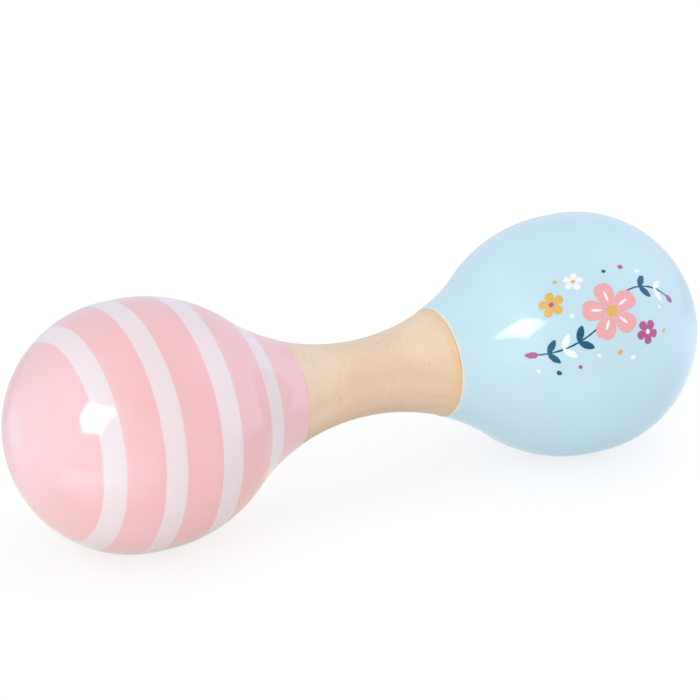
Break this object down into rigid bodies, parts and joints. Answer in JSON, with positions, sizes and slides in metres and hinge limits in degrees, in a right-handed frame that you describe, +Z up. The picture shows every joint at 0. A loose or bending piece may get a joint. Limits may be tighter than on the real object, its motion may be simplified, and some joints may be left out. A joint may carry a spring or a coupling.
{
  "type": "double maraca",
  "caption": "Wooden baby shaker: hollow lacquered round heads on both ends of a waisted bare wood grip, with loose shot sealed inside that rattles when it is shaken.",
  "frame": {"origin": "on the surface that it lies on, under the middle of the grip", "axes": "+X along the grip towards the blue head, +Z up, +Y away from the side that the picture shows"},
  "size_m": [0.153, 0.05, 0.05],
  "materials": {
    "bare_wood": "sanded and waxed, satin",
    "pink_lacquer": "gloss lacquer with white stripes",
    "blue_lacquer": "gloss lacquer with a printed design",
    "steel": "polished ball"
  },
  "bodies": {
    "maraca": {"handle": "bare_wood", "pink_neck_half": "pink_lacquer", "pink_crown": "pink_lacquer", "blue_neck_half": "blue_lacquer", "blue_crown": "blue_lacquer"},
    "pink_shot_0": {"pink_shot_0": "steel"},
    "pink_shot_1": {"pink_shot_1": "steel"},
    "pink_shot_2": {"pink_shot_2": "steel"},
    "pink_shot_3": {"pink_shot_3": "steel"},
    "pink_shot_4": {"pink_shot_4": "steel"},
    "pink_shot_5": {"pink_shot_5": "steel"},
    "pink_shot_6": {"pink_shot_6": "steel"},
    "pink_shot_7": {"pink_shot_7": "steel"},
    "blue_shot_0": {"blue_shot_0": "steel"},
    "blue_shot_1": {"blue_shot_1": "steel"},
    "blue_shot_2": {"blue_shot_2": "steel"},
    "blue_shot_3": {"blue_shot_3": "steel"},
    "blue_shot_4": {"blue_shot_4": "steel"},
    "blue_shot_5": {"blue_shot_5": "steel"},
    "blue_shot_6": {"blue_shot_6": "steel"},
    "blue_shot_7": {"blue_shot_7": "steel"}
  },
  "joints": [
    {"name": "pink_shot_0_fly", "type": "slide", "parent": "maraca", "child": "pink_shot_0", "axis": [0, 0, 1], "range_m": [0, 0.0344]},
    {"name": "pink_shot_1_fly", "type": "slide", "parent": "maraca", "child": "pink_shot_1", "axis": [0, 0, 1], "range_m": [0, 0.0321]},
    {"name": "pink_shot_2_fly", "type": "slide", "parent": "maraca", "child": "pink_shot_2", "axis": [0, 0, 1], "range_m": [0, 0.0321]},
    {"name": "pink_shot_3_fly", "type": "slide", "parent": "maraca", "child": "pink_shot_3", "axis": [0, 0, 1], "range_m": [0, 0.0321]},
    {"name": "pink_shot_4_fly", "type": "slide", "parent": "maraca", "child": "pink_shot_4", "axis": [0, 0, 1], "range_m": [0, 0.0321]},
    {"name": "pink_shot_5_fly", "type": "slide", "parent": "maraca", "child": "pink_shot_5", "axis": [0, 0, 1], "range_m": [0, 0.0321]},
    {"name": "pink_shot_6_fly", "type": "slide", "parent": "maraca", "child": "pink_shot_6", "axis": [0, 0, 1], "range_m": [0, 0.0321]},
    {"name": "pink_shot_7_fly", "type": "slide", "parent": "maraca", "child": "pink_shot_7", "axis": [0, 0, 1], "range_m": [0, 0.0321]},
    {"name": "blue_shot_0_fly", "type": "slide", "parent": "maraca", "child": "blue_shot_0", "axis": [0, 0, 1], "range_m": [0, 0.0344]},
    {"name": "blue_shot_1_fly", "type": "slide", "parent": "maraca", "child": "blue_shot_1", "axis": [0, 0, 1], "range_m": [0, 0.0321]},
    {"name": "blue_shot_2_fly", "type": "slide", "parent": "maraca", "child": "blue_shot_2", "axis": [0, 0, 1], "range_m": [0, 0.0321]},
    {"name": "blue_shot_3_fly", "type": "slide", "parent": "maraca", "child": "blue_shot_3", "axis": [0, 0, 1], "range_m": [0, 0.0321]},
    {"name": "blue_shot_4_fly", "type": "slide", "parent": "maraca", "child": "blue_shot_4", "axis": [0, 0, 1], "range_m": [0, 0.0321]},
    {"name": "blue_shot_5_fly", "type": "slide", "parent": "maraca", "child": "blue_shot_5", "axis": [0, 0, 1], "range_m": [0, 0.0321]},
    {"name": "blue_shot_6_fly", "type": "slide", "parent": "maraca", "child": "blue_shot_6", "axis": [0, 0, 1], "range_m": [0, 0.0321]},
    {"name": "blue_shot_7_fly", "type": "slide", "parent": "maraca", "child": "blue_shot_7", "axis": [0, 0, 1], "range_m": [0, 0.0321]}
  ]
}
